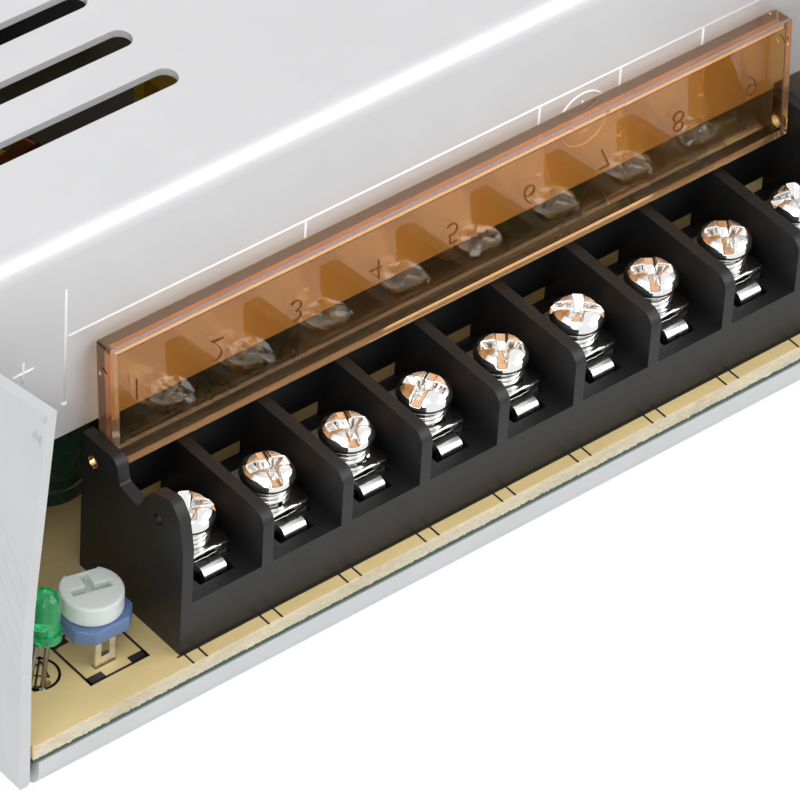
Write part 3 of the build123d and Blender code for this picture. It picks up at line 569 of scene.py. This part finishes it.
# Terminal block with the pockets that hold the tabs and a window behind each way
pocket_half = 3.15
pocket_front, pocket_back = screw_y - 2.7, screw_y + 5.85
window_half = 4.09
block = cad_copy("terminal_block")
for number in range(1, terminals + 1):
    x = terminal_x(number)
    cut_box(block, x - pocket_half, x + pocket_half, pocket_front, pocket_back, tab_top - 0.85, tab_top + 1.2)
    cut_box(block, x - window_half, x + window_half, block_back - 1.3, block_back + 0.5,
            ledge_top - 1.9, ledge_top + 0.8)
piece = add_piece("block_look", taken(block), looks["black_moulding"], "case", sharp=30)
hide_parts("terminal_block")

# Tabs: a plate round the shank and a narrow nose bent down into the ledge
tab_half, tab_hole_half, tab_gauge = 2.8, 1.55, 0.8
tab_low = tab_top - tab_gauge
nose_front, shoulder, plate_back = -103.75, -102.2, -94.2
nose_left, nose_right, nose_bend = 1.0, 1.65, 0.9
nose_low = tab_top - 3.2
bm = bmesh.new()
for number in range(1, terminals + 1):
    x = terminal_x(number)
    for x0, x1 in ((x - tab_half, x - tab_hole_half), (x + tab_hole_half, x + tab_half)):
        add_box(bm, x0, x1, shoulder, plate_back, tab_low, tab_top)
    add_box(bm, x - 1.56, x + 1.56, screw_y + tab_hole_half, plate_back, tab_low, tab_top)
    add_box(bm, x - 1.56, x + 1.56, shoulder, screw_y - tab_hole_half, tab_low, tab_top)
    add_box(bm, x - 0.6, x + 0.6, plate_back - 0.8, plate_back, board_bottom - 1.4, tab_top - 0.4)
    bend = [(shoulder + 0.2, tab_top)]
    for degree in range(0, 91, 10):
        angle = radians(degree)
        bend.append((nose_front + nose_bend - nose_bend * sin(angle),
                     tab_top - nose_bend + nose_bend * cos(angle)))
    bend += [(nose_front, nose_low), (nose_front + 0.8, nose_low), (nose_front + 0.8, tab_top - 0.95),
             (nose_front + 0.95, tab_low), (shoulder + 0.2, tab_low)]
    left = [bm.verts.new((x - nose_left, y, z)) for y, z in bend]
    right = [bm.verts.new((x + nose_right, y, z)) for y, z in bend]
    bm.faces.new(left)
    bm.faces.new(list(reversed(right)))
    for k in range(len(bend)):
        after = (k + 1) % len(bend)
        bm.faces.new((left[k], left[after], right[after], right[k]))
piece = add_piece("tab_look", bm, looks["tin_plating"], "case", sharp=28)
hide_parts("terminal_tabs")


# Adjuster: an eight-sided base that stands on its leads, and a rotor with an arrow-shaped recess

def prism(bm, corners, z0, z1):
    """An upright block over an outline in plan."""
    low = [bm.verts.new((x, y, z0)) for x, y in corners]
    high = [bm.verts.new((x, y, z1)) for x, y in corners]
    bm.faces.new(list(reversed(low)))
    bm.faces.new(high)
    for k in range(len(corners)):
        after = (k + 1) % len(corners)
        bm.faces.new((low[k], low[after], high[after], high[k]))


base_low, base_high = 9.95, 11.6
base_half, base_corner, base_round = 3.38, 1.45, 0.22
base_flat = base_half - base_corner
octagon = [(-base_half, -base_half + base_corner), (-base_half + base_corner, -base_half),
           (base_flat, -base_half), (base_half, -base_half + base_corner), (base_half, base_flat),
           (base_flat, base_half), (-base_half + base_corner, base_half), (-base_half, base_flat)]
bm = bmesh.new()
prism(bm, [(trimmer[0] + x, trimmer[1] + y) for x, y in octagon], base_low, base_high)
piece = loose("base", bm)
edge_round = piece.modifiers.new("round", "BEVEL")
edge_round.width = base_round
edge_round.segments = 3
bake_modifiers(piece)
bm = taken(piece)
piece = add_piece("adjuster_base_look", bm, looks["blue_plastic"], "case", sharp=50)
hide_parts("trimmer_base")

rotor_top = 13.85
rotor_low = base_high + 0.06
rotor_wall = 3.08
recess_depth, notch_depth = 1.15, 3
arm = 0.42
rotor_turn = radians(-14)
bm = bmesh.new()
add_lathe(bm, trimmer[0], trimmer[1], [
    (0, rotor_low), (2.95, rotor_low), (rotor_wall, base_high + 0.2), (rotor_wall, rotor_top - 0.2),
    (3.0, rotor_top - 0.06), (2.86, rotor_top), (0, rotor_top)], 64)
rotor = loose("rotor", bm)
recess_shapes = [
    ([(-2.0, -arm), (0.2, -arm), (0.2, arm), (-2.0, arm)], recess_depth),
    ([(-0.1, -arm), (1.95, -arm), (1.95, arm), (-0.1, arm)], recess_depth),
    ([(-arm, 0), (arm, 0), (arm, 1.95), (-arm, 1.95)], recess_depth),
    ([(0.2, -arm), (0.2, 0.9), (-0.95, -arm)], recess_depth),
    ([(-1.6, 2.3), (1.6, 2.3), (1.6, 3.6), (-1.6, 3.6)], notch_depth)]
for corners, depth in recess_shapes:
    bm = bmesh.new()
    turned = [(trimmer[0] + x * cos(rotor_turn) - y * sin(rotor_turn),
               trimmer[1] + x * sin(rotor_turn) + y * cos(rotor_turn)) for x, y in corners]
    prism(bm, turned, rotor_top - depth, rotor_top + 0.3)
    cut(rotor, loose("recess_cutter", bm))
soften(rotor, 0.08, 2)
piece = add_piece("adjuster_rotor_look", taken(rotor), looks["white_plastic"], "rotor",
                  sharp=80)
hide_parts("trimmer_rotor")

# Leads of the adjuster: a forked strip in front and two flat pins behind
lead_y = trimmer[1] - 2.1
lead_top = base_low + 0.3
strip_low = 5.2
bm = bmesh.new()
for x0, x1, z0, z1 in ((-1.15, -0.48, strip_low, lead_top), (0.48, 1.15, strip_low, lead_top),
                       (-0.5, 0.5, board_top + 2.9, lead_top), (-0.5, 0.5, strip_low, board_top + 1.05)):
    add_box(bm, trimmer[0] + x0, trimmer[0] + x1, lead_y - 0.2, lead_y + 0.2, z0, z1)
for side_x in (-2.3, 2.3):
    add_box(bm, trimmer[0] + side_x - 0.4, trimmer[0] + side_x + 0.4, trimmer[1] + 2.3, trimmer[1] + 2.6,
            board_bottom - 1.2, lead_top)
piece = add_piece("adjuster_leads_look", bm, looks["tin_plating"], "case", sharp=30)
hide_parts("trimmer_leads")

# Lamp leads: two thin wires that lean with the lamp
lamp_feet = (-1.9, -0.1)
lamp_tops = (-0.75, 0.52)
foot_y = lamp[1] - 0.3
bm = bmesh.new()
for foot_x, top_x in zip(lamp_feet, lamp_tops):
    route = [(lamp[0] + foot_x, foot_y, board_bottom - 1.2), (lamp[0] + foot_x, foot_y, board_top),
             (lamp[0] + top_x, lamp[1] - 0.2, 11.9)]
    add_tube(bm, route, 0.24, steps=10)
piece = add_piece("lamp_leads_look", bm, lead_metal, "case", sharp=60)
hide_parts("lamp_leads")

# Lead frame and cup inside the lamp
cup = [(0, 13.1), (0.45, 13.1), (0.75, 13.6), (0.55, 13.6), (0.3, 13.25), (0, 13.25)]
frame_low = 12.2
bm = bmesh.new()
add_lathe(bm, lamp[0] - 0.2, lamp[1], cup, 20)
add_box(bm, lamp[0] - 0.55, lamp[0] + 0.05, lamp[1] - 0.2, lamp[1] + 0.2, frame_low, 13.12)
add_box(bm, lamp[0] + 0.45, lamp[0] + 0.85, lamp[1] - 0.2, lamp[1] + 0.2, frame_low, 13.5)
add_piece("lamp_frame", bm, looks["tin_plating"], "case", sharp=40)

# Flap with its top right corner rounded and its front top edge chamfered
corner_round = 1.5
chamfer = 0.10
flap_lean = radians(4.0)
hinge = Vector((0, pin_y, pin_z))
flap = cad_copy("terminal_flap")
box = [[op(getattr(v.co, axis) for v in flap.data.vertices) for op in (min, max)] for axis in "xyz"]
centre = Vector((box[0][1] - 0.05 - corner_round, (box[1][0] + box[1][1]) / 2, box[2][1] - corner_round))
for angle in range(9, 90, 12):
    bm = bmesh.new()
    verts = add_box(bm, corner_round, corner_round + 4, -6, 6, -6, 6)
    bmesh.ops.rotate(bm, verts=verts, matrix=Matrix.Rotation(radians(-angle), 3, "Y"))
    bmesh.ops.translate(bm, verts=verts, vec=centre)
    cut(flap, loose("corner_cutter", bm))
lean_back = Matrix.Rotation(flap_lean, 3, "X")
stood_up = [lean_back @ (v.co - hinge) for v in flap.data.vertices]
rim_front = min(v.y for v in stood_up)
rim_top = max(v.z for v in stood_up)
bm = bmesh.new()
verts = add_box(bm, -60, 60, -3, 0, -3, 3)
bmesh.ops.rotate(bm, verts=verts, matrix=Matrix.Rotation(radians(-45), 3, "X"))
bmesh.ops.translate(bm, verts=verts, vec=(0, rim_front + chamfer, rim_top - chamfer))
bmesh.ops.rotate(bm, verts=verts, matrix=lean_back.transposed())
bmesh.ops.translate(bm, verts=verts, vec=hinge)
cut(flap, loose("chamfer_cutter", bm))
piece = add_piece("flap_look", taken(flap), looks["amber_plastic"], "flap", sharp=30)
# The rim's top, front and left end faces take the lighter copy of the amber as painted light
piece.data.materials.append(rim_amber_painted_light)
# The chamfer's faces take the painted highlight colour
piece.data.materials.append(glint_amber)
rim, glint = 1, 2
left_end = min(v.co.x for v in piece.data.vertices) + 2.5 * MM
for face in piece.data.polygons:
    facing = lean_back @ face.normal
    place = lean_back @ (face.center / MM - hinge)
    if facing.y < -0.4 and facing.z > 0.4 and place.z > rim_top - 0.6:
        face.material_index = glint
    elif (facing.z > 0.9 and place.z > rim_top - 0.4) or (facing.y < -0.9 and place.y < rim_front + 0.3):
        face.material_index = rim
    elif abs(facing.x) > 0.9 and face.center.x < left_end:
        face.material_index = rim
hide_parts("terminal_flap")

# Digits on the flap, moulded so that they read from above when it is shut
digit_size, digit_depth, digit_thinning = 3.7, 0.12, -0.12
digit_height = board_top + 20.2
panel_y = pin_y - 1.05 + 1.3


def text_mesh(text, size, depth, offset):
    """Raised characters as a mesh, in plan, with their middle at the origin."""
    curve = bpy.data.curves.new("words", "FONT")
    curve.body = text
    curve.size = size
    curve.extrude = depth / 2
    curve.offset = offset
    curve.bevel_depth = depth * 0.15
    curve.align_x = "CENTER"
    curve.align_y = "CENTER"
    obj = bpy.data.objects.new("words", curve)
    bpy.context.scene.collection.objects.link(obj)
    bpy.context.view_layer.update()
    mesh = bpy.data.meshes.new_from_object(obj.evaluated_get(bpy.context.evaluated_depsgraph_get()))
    bpy.data.objects.remove(obj)
    return mesh


lean = Matrix.Translation(hinge) @ Matrix.Rotation(-flap_lean, 4, "X") @ Matrix.Translation(-hinge)
bm = bmesh.new()
for number in range(1, terminals + 1):
    mesh = text_mesh(str(number), digit_size, digit_depth, digit_thinning)
    part = bmesh.new()
    part.from_mesh(mesh)
    spot = Matrix.Translation((terminal_x(number), panel_y - 0.06, digit_height))
    place = lean @ spot @ Matrix.Rotation(radians(-90), 4, "X")
    bmesh.ops.transform(part, matrix=place, verts=part.verts)
    part.to_mesh(mesh)
    part.free()
    bm.from_mesh(mesh)
# The digits are dark brown as painted shade
add_piece("flap_digits", bm, digit_painted_shade, "flap", sharp=30)


# Print on the board

def add_line(bm, points, width=0.24, level=board_top, height=0.03):
    """A printed line of even width through points in plan."""
    for (x0, y0), (x1, y1) in zip(points, points[1:]):
        along = Vector((x1 - x0, y1 - y0, 0))
        reach = along.normalized() * width / 2
        across = Vector((-reach.y, reach.x, 0))
        start, end = Vector((x0, y0, level)) - reach, Vector((x1, y1, level)) + reach
        low = [bm.verts.new(p) for p in (start - across, end - across, end + across, start + across)]
        high = [bm.verts.new(v.co + Vector((0, 0, height))) for v in low]
        bm.faces.new(high)
        for k in range(4):
            bm.faces.new((low[k], low[(k + 1) % 4], high[(k + 1) % 4], high[k]))


def relative(x, y):
    """A place on the board, from the front left corner of the block."""
    return (block_left + x, block_front + y)


def circle(x, y, radius, steps=40):
    """Points round a printed circle, with the first one again at the end."""
    ring = []
    for k in range(steps + 1):
        angle = 2 * pi * k / steps
        ring.append(relative(x + radius * cos(angle), y + radius * sin(angle)))
    return ring


# A line along the front of the block, with two ticks at each divider
tick_offset, tick_start, tick_end = 0.8, -0.24, -1.55
thin, thick = 0.2, 0.26
bm = bmesh.new()
add_line(bm, [relative(-0.9, -0.12), relative(86.4, -0.12)], thin)
for number in range(1, terminals):
    for offset in (-tick_offset, tick_offset):
        x = number * pitch + offset
        add_line(bm, [relative(x, tick_start), relative(x, tick_end)], thin)
for offset in (-tick_offset, tick_offset):
    add_line(bm, [relative(0.6 + offset, tick_start), relative(0.6 + offset, tick_end)], thin)

# The lamp's circle with its diode mark, the adjuster's square and the circle of a part behind them
add_line(bm, circle(-12.75, 5.87, 2.1), thick)
add_line(bm, [relative(-14.3, 4.2), relative(-11.2, 7.5)], thin)
add_line(bm, [relative(-13.9, 6.6), relative(-12.1, 4.9), relative(-11.5, 6.9), relative(-13.9, 6.6)], 0.18)
low, high = (-9.6, 1.75), (-2.95, 8.4)
add_line(bm, [relative(low[0], low[1]), relative(high[0], low[1]), relative(high[0], high[1]),
              relative(low[0], high[1]), relative(low[0], low[1])], thick)
for corner_x, corner_y in ((low[0], low[1]), (high[0], low[1]), (low[0], high[1])):
    inward_x = 1 if corner_x == low[0] else -1
    inward_y = 1 if corner_y == low[1] else -1
    add_line(bm, [relative(corner_x + inward_x * 0.35, corner_y + inward_y * 0.45),
                  relative(corner_x + inward_x * 1.35, corner_y + inward_y * 0.45)], 0.9)
add_line(bm, circle(-11.5, 13.2, 2.6), thick)
add_piece("board_print", bm, ink, "case", smooth=False)

# Pale sawn edge and lacquered underside of the board
edge_columns, edge_rows = 640, 7
edge_half = 55.9
chip_most, ragged_most, rough_most = 0.10, 0.16, 0.07
lacquer_thickness = 0.55
board_back = 102.2
bm = bmesh.new()
random.seed(5)
sheet = []
for i in range(edge_columns + 1):
    x = -edge_half + 2 * edge_half * i / edge_columns
    chip = chip_most * random.random() ** 3
    ragged = ragged_most * random.random() ** 2
    column = [bm.verts.new((x, case_front + 0.16 + chip, board_top + 0.012))]
    for j in range(edge_rows + 1):
        height = board_top - 0.03 - chip * 0.5 - (board_top - board_bottom) * j / edge_rows
        depth_in = 0.02 + rough_most * random.random() + (0.05 if j == 0 else 0)
        column.append(bm.verts.new((x, case_front + depth_in, height - (ragged if j == edge_rows else 0))))
    sheet.append(column)
for before, after in zip(sheet, sheet[1:]):
    for j in range(edge_rows + 1):
        bm.faces.new((before[j], before[j + 1], after[j + 1], after[j]))
add_piece("board_sawn_edge", bm, pale_edge, "case", smooth=False)
bm = bmesh.new()
add_box(bm, -edge_half, edge_half, case_front + 0.10, board_back,
        board_bottom - lacquer_thickness, board_bottom)
add_piece("board_underside", bm, green_mask, "case", smooth=False)


# Solder round the lamp's leads
solder_radius, solder_height = 0.42, 0.12
solder_outline = [(1, 0), (0.96, 0.08), (0.62, 0.3), (0.4, 0.62), (0.32, 1), (0, 1)]
solder_level = board_top + 0.01
bm = bmesh.new()
for foot_x in lamp_feet:
    outline = [(solder_radius * across, solder_level + solder_height * up) for across, up in solder_outline]
    add_lathe(bm, lamp[0] + foot_x, foot_y, outline, 20)
add_piece("solder_joints", bm, solder, "case")

# Raised lines of the legend on the cover's end face, paler than the cover metal as a painted highlight
face_y = end_face - 0.02
line_z = 34.9
mark_low, frame_mark_low, frame_mark_top = 26.7, 26.8, 40.5
bead_section = ((-1, 0), (-0.72, 0.62), (0, 1), (0.72, 0.62), (1, 0))
bm = bmesh.new()


def face_line(bm, x0, z0, x1, z1, width=0.27, height=0.13):
    """A rounded raised line on the end face."""
    along = Vector((x1 - x0, 0, z1 - z0))
    reach = along.normalized() * width / 2
    across = Vector((-reach.z, 0, reach.x))
    ends = []
    for place, shift in ((Vector((x0, face_y, z0)), -1), (Vector((x1, face_y, z1)), 1)):
        end = []
        for side, rise in bead_section:
            tip = place + reach * shift * (0.4 if rise else 1)
            end.append(bm.verts.new(tip + across * side + Vector((0, 0.03 - height * rise, 0))))
        ends.append(end)
    start, end = ends
    for k in range(4):
        bm.faces.new((start[k], start[k + 1], end[k + 1], end[k]))
    bm.faces.new(start)
    bm.faces.new(list(reversed(end)))


face_line(bm, block_left - 2.0, line_z, block_left + 85.7, line_z)
mark_offsets = (25.7, 54.3, 64.5, 75.1)
face_line(bm, block_left - 2.4, frame_mark_low, block_left - 2.4, frame_mark_top)
for offset in mark_offsets:
    face_line(bm, block_left + offset, mark_low, block_left + offset, line_z)
face_line(bm, block_left - 2.5, frame_mark_low, block_left - 2.3, frame_mark_low, 0.5, 0.2)
for offset in mark_offsets:
    face_line(bm, block_left + offset - 0.1, mark_low, block_left + offset + 0.1, mark_low, 0.5, 0.2)

# The earth mark, a plus and a minus
centre_x, centre_z = block_left + 59.8, 30.9
ring_radius, ring_steps, fine_line = 3, 36, 0.2
for k in range(ring_steps):
    a, b = 2 * pi * k / ring_steps, 2 * pi * (k + 1) / ring_steps
    face_line(bm, centre_x + ring_radius * cos(a), centre_z + ring_radius * sin(a),
              centre_x + ring_radius * cos(b), centre_z + ring_radius * sin(b), fine_line)
face_line(bm, centre_x, centre_z + 2.0, centre_x, centre_z, fine_line)
for half, drop in ((1.8, 0.0), (1.15, 0.7), (0.5, 1.4)):
    face_line(bm, centre_x - half, centre_z - drop, centre_x + half, centre_z - drop, fine_line)
sign_z, sign_half = 33.0, 1.1
for mark_x, plus in ((block_left - 7.2, True), (block_left - 12.0, False)):
    face_line(bm, mark_x - sign_half, sign_z, mark_x + sign_half, sign_z, 0.3)
    if plus:
        face_line(bm, mark_x, sign_z - sign_half, mark_x, sign_z + sign_half, 0.3)
add_piece("end_face_legend", bm, ridge_painted_highlight, "case", sharp=75)


# Floor, light and camera. The floor lies just under the case, so that the two faces don't flicker.
floor_size, floor_level = 4.0, -0.0001
floor_glow, floor_share = 1.05, 0.9


def background_rays(tree, share):
    """A factor for the rays that show the background: straight from the camera, or by way of metal or glass."""
    path = tree.nodes.new("ShaderNodeLightPath")
    total = path.outputs["Is Camera Ray"]
    for ray in ("Is Glossy Ray", "Is Transmission Ray"):
        added = tree.nodes.new("ShaderNodeMath")
        added.operation = "MAXIMUM"
        tree.links.new(total, added.inputs[0])
        tree.links.new(path.outputs[ray], added.inputs[1])
        total = added.outputs[0]
    scaled = tree.nodes.new("ShaderNodeMath")
    scaled.operation = "MULTIPLY"
    scaled.inputs[1].default_value = share
    tree.links.new(total, scaled.inputs[0])
    return scaled.outputs[0]


def stage_plane(name, size, z, look):
    """A flat square that isn't part of the object."""
    mesh = bpy.data.meshes.new(name)
    corners = [(-size, -size, z), (size, -size, z), (size, size, z), (-size, size, z)]
    mesh.from_pydata(corners, [], [(0, 1, 2, 3)])
    mesh.materials.append(look)
    obj = bpy.data.objects.new(name, mesh)
    bpy.context.scene.collection.objects.link(obj)


paper = bpy.data.materials.new("floor_paper")
paper.use_nodes = True
tree = paper.node_tree
surface = tree.nodes["Principled BSDF"]
surface.inputs["Base Color"].default_value = (0.60, 0.60, 0.60, 1)
surface.inputs["Roughness"].default_value = 0.9
surface.inputs["Specular IOR Level"].default_value = 0.1
glow = tree.nodes.new("ShaderNodeEmission")
glow.inputs["Color"].default_value = (1, 1, 1, 1)
glow.inputs["Strength"].default_value = floor_glow
mixed = tree.nodes.new("ShaderNodeMixShader")
tree.links.new(background_rays(tree, floor_share), mixed.inputs["Fac"])
tree.links.new(surface.outputs["BSDF"], mixed.inputs[1])
tree.links.new(glow.outputs["Emission"], mixed.inputs[2])
tree.links.new(mixed.outputs["Shader"], tree.nodes["Material Output"].inputs["Surface"])
stage_plane("floor", floor_size, floor_level, paper)

world = bpy.data.worlds.new("studio")
bpy.context.scene.world = world
world.use_nodes = True
tree = world.node_tree
background = tree.nodes["Background"]
background.inputs["Color"].default_value = (1, 1, 1, 1)
background.inputs["Strength"].default_value = 0.45
seen = tree.nodes.new("ShaderNodeBackground")
seen.inputs["Color"].default_value = (1, 1, 1, 1)
seen.inputs["Strength"].default_value = 1.0
mixed = tree.nodes.new("ShaderNodeMixShader")
tree.links.new(background_rays(tree, 1.0), mixed.inputs["Fac"])
tree.links.new(background.outputs["Background"], mixed.inputs[1])
tree.links.new(seen.outputs["Background"], mixed.inputs[2])
tree.links.new(mixed.outputs["Shader"], tree.nodes["World Output"].inputs["Surface"])


def soft_light(name, place, aim, size, power):
    """A rectangular lamp that faces the point it is aimed at."""
    lamp_data = bpy.data.lights.new(name, "AREA")
    lamp_data.shape = "RECTANGLE"
    lamp_data.size, lamp_data.size_y = size
    lamp_data.energy = power
    obj = bpy.data.objects.new(name, lamp_data)
    obj.location = place
    obj.rotation_mode = "QUATERNION"
    obj.rotation_quaternion = (Vector(aim) - Vector(place)).to_track_quat("-Z", "Y")
    bpy.context.scene.collection.objects.link(obj)


soft_light("key", (-0.55, -0.35, 1.05), (0, -0.05, 0.02), (1.2, 1.0), 2.4)
soft_light("side", (0.75, -0.75, 0.60), (0, -0.1, 0.02), (1.2, 0.9), 7.8)
soft_light("fill", (-0.85, -0.60, 0.45), (0, -0.1, 0.02), (0.8, 0.6), 5.2)
soft_light("rear", (0.2, 0.9, 0.9), (0, 0, 0.02), (0.8, 0.5), 1.2)

# The camera, as fitted to the corners and edges in the photograph
camera_place = Vector((-0.323417, -0.454370, 0.438979))
azimuth, elevation, roll = radians(-41.7397), radians(41.5859), radians(3.6976)
camera_data = bpy.data.cameras.new("camera")
camera = bpy.data.objects.new("camera", camera_data)
bpy.context.scene.collection.objects.link(camera)
bpy.context.scene.camera = camera
camera_data.sensor_width = 36
camera_data.lens = 302.668
camera_data.clip_start = 0.02
camera_data.clip_end = 20
back = Vector((sin(azimuth) * cos(elevation), -cos(azimuth) * cos(elevation), sin(elevation)))
across = Vector((cos(azimuth), sin(azimuth), 0))
upward = back.cross(across)
turned_across = across * cos(roll) + upward * sin(roll)
turned_up = upward * cos(roll) - across * sin(roll)
facing = Matrix((turned_across, turned_up, back)).transposed()
camera.matrix_world = Matrix.Translation(camera_place) @ facing.to_4x4()

bpy.context.scene.view_settings.view_transform = "Standard"
